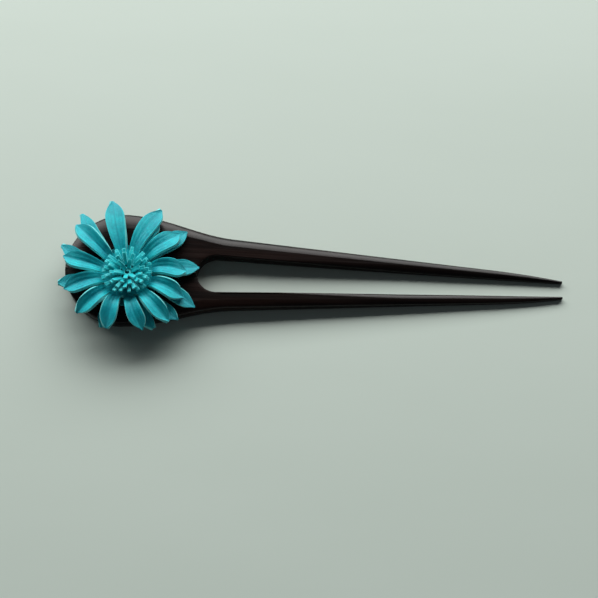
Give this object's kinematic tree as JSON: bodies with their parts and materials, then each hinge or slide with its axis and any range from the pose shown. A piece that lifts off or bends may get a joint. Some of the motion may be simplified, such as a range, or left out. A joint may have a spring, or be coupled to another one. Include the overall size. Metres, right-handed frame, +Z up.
{
  "type": "hair fork",
  "caption": "Carved wooden hair fork with tapering prongs and a layered leather daisy with a rolled fringe centre on its round head.",
  "frame": {"origin": "centre of the round head's flat underside, where the fork rests", "axes": "+X from the head along the prongs to their tips, +Y across the head, +Z up through the flower"},
  "size_m": [0.1667, 0.0449, 0.0151],
  "materials": {
    "dark_wood": "oiled, hand-rubbed satin",
    "cured_adhesive": "cured contact adhesive",
    "backing_leather": "suede",
    "petal_leather": "dyed, satin grain",
    "waxed_thread": "waxed",
    "fringe_leather": "dyed, cut edges"
  },
  "bodies": {
    "root": {"hair_fork": "dark_wood", "adhesive_pad": "cured_adhesive", "backing_disc": "backing_leather", "lower_petals": "petal_leather", "upper_petals": "petal_leather", "binding_thread": "waxed_thread", "fringe_collar": "fringe_leather", "fringe_core": "fringe_leather"}
  },
  "joints": []
}
